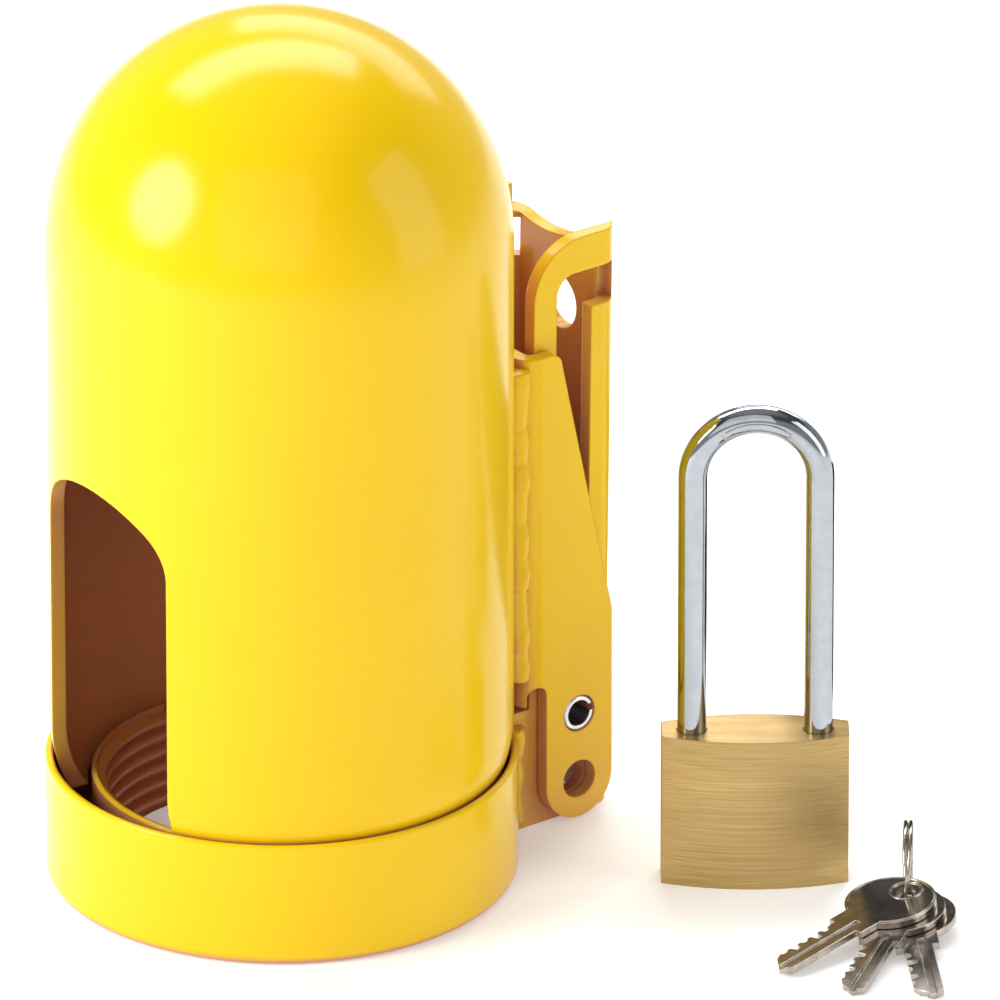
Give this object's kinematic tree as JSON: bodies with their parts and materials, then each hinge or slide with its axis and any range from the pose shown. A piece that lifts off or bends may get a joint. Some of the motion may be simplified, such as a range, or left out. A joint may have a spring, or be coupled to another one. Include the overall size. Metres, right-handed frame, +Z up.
{
  "type": "gas cylinder valve lockout hood",
  "caption": "Domed steel hood with a window, sliding on a slotted guide post over a threaded neck collar, with a long-shackle padlock and keys on a split ring.",
  "frame": {"origin": "centre of the threaded neck opening at the underside of the base", "axes": "+Z up along the hood's axis, +X towards the guide post, -X towards the hood's window, Y along the cross pin"},
  "size_m": [0.1495, 0.1879, 0.1963],
  "materials": {
    "yellow_paint": "glossy powder coat",
    "brass": "brushed",
    "chrome_steel": "polished",
    "nickel": "nickel plated",
    "zinc_steel": "bright zinc"
  },
  "bodies": {
    "base": {"base_cup": "yellow_paint", "threaded_collar": "yellow_paint", "collar_weld": "yellow_paint", "guide_post": "yellow_paint", "post_welds": "yellow_paint"},
    "hood": {"hood_shell": "yellow_paint", "hood_bracket": "yellow_paint", "bracket_welds": "yellow_paint", "cross_pin": "zinc_steel"},
    "padlock": {"padlock_body": "brass", "bolt_bore_plug": "brass", "driver_pins": "brass", "pin_springs": "zinc_steel", "chamber_plugs": "brass", "plug_retaining_pin": "brass", "shackle_retaining_pin": "brass", "shackle_spring": "zinc_steel"},
    "padlock_shackle": {"shackle": "chrome_steel"},
    "plug": {"cylinder_plug": "brass", "plug_cam": "zinc_steel", "key_pins": "brass"},
    "bolt": {"locking_bolt": "zinc_steel"},
    "key_ring": {"split_ring": "nickel"},
    "first_key": {"key_top": "nickel"},
    "second_key": {"key_middle": "nickel"},
    "third_key": {"key_bottom": "nickel"}
  },
  "joints": [
    {"name": "hood_lift", "type": "slide", "parent": "base", "child": "hood", "axis": [0.014, 0, 0.9999], "range_m": [0, 0.0965]},
    {"name": "padlock_lift", "type": "slide", "parent": "base", "child": "padlock", "axis": [0, 0, 1], "range_m": [0, 0.08]},
    {"name": "shackle_lift", "type": "slide", "parent": "padlock", "child": "padlock_shackle", "axis": [0, 0, 1], "range_m": [0, 0.0118], "deforming": ["shackle_spring"]},
    {"name": "plug_turn", "type": "hinge", "parent": "padlock", "child": "plug", "pos_m": [0.0763, -0.0662, 0.01], "axis": [0, 0, 1], "range_deg": [-90, 0]},
    {"name": "bolt_slide", "type": "slide", "parent": "padlock", "child": "bolt", "axis": [0.7965, -0.6046, 0], "range_m": [0, 0.0022]},
    {"name": "key_set_lift", "type": "slide", "parent": "base", "child": "key_ring", "axis": [0, 0, 1], "range_m": [0, 0.08]},
    {"name": "first_key_swing", "type": "hinge", "parent": "key_ring", "child": "first_key", "pos_m": [0.08804, -0.10393, 0.0024], "axis": [-0.1258, 0.0066, 0.992], "range_deg": [-15, 40]},
    {"name": "second_key_swing", "type": "hinge", "parent": "key_ring", "child": "second_key", "pos_m": [0.08804, -0.10393, 0.0024], "axis": [-0.1258, 0.0066, 0.992], "range_deg": [0, 40]},
    {"name": "third_key_swing", "type": "hinge", "parent": "key_ring", "child": "third_key", "pos_m": [0.08804, -0.10393, 0.0024], "axis": [-0.1258, 0.0066, 0.992], "range_deg": [0, 40]}
  ],
  "couplings": [
    {"joint": "bolt_slide", "follows": "plug_turn", "m_per_rad": -0.0014}
  ]
}
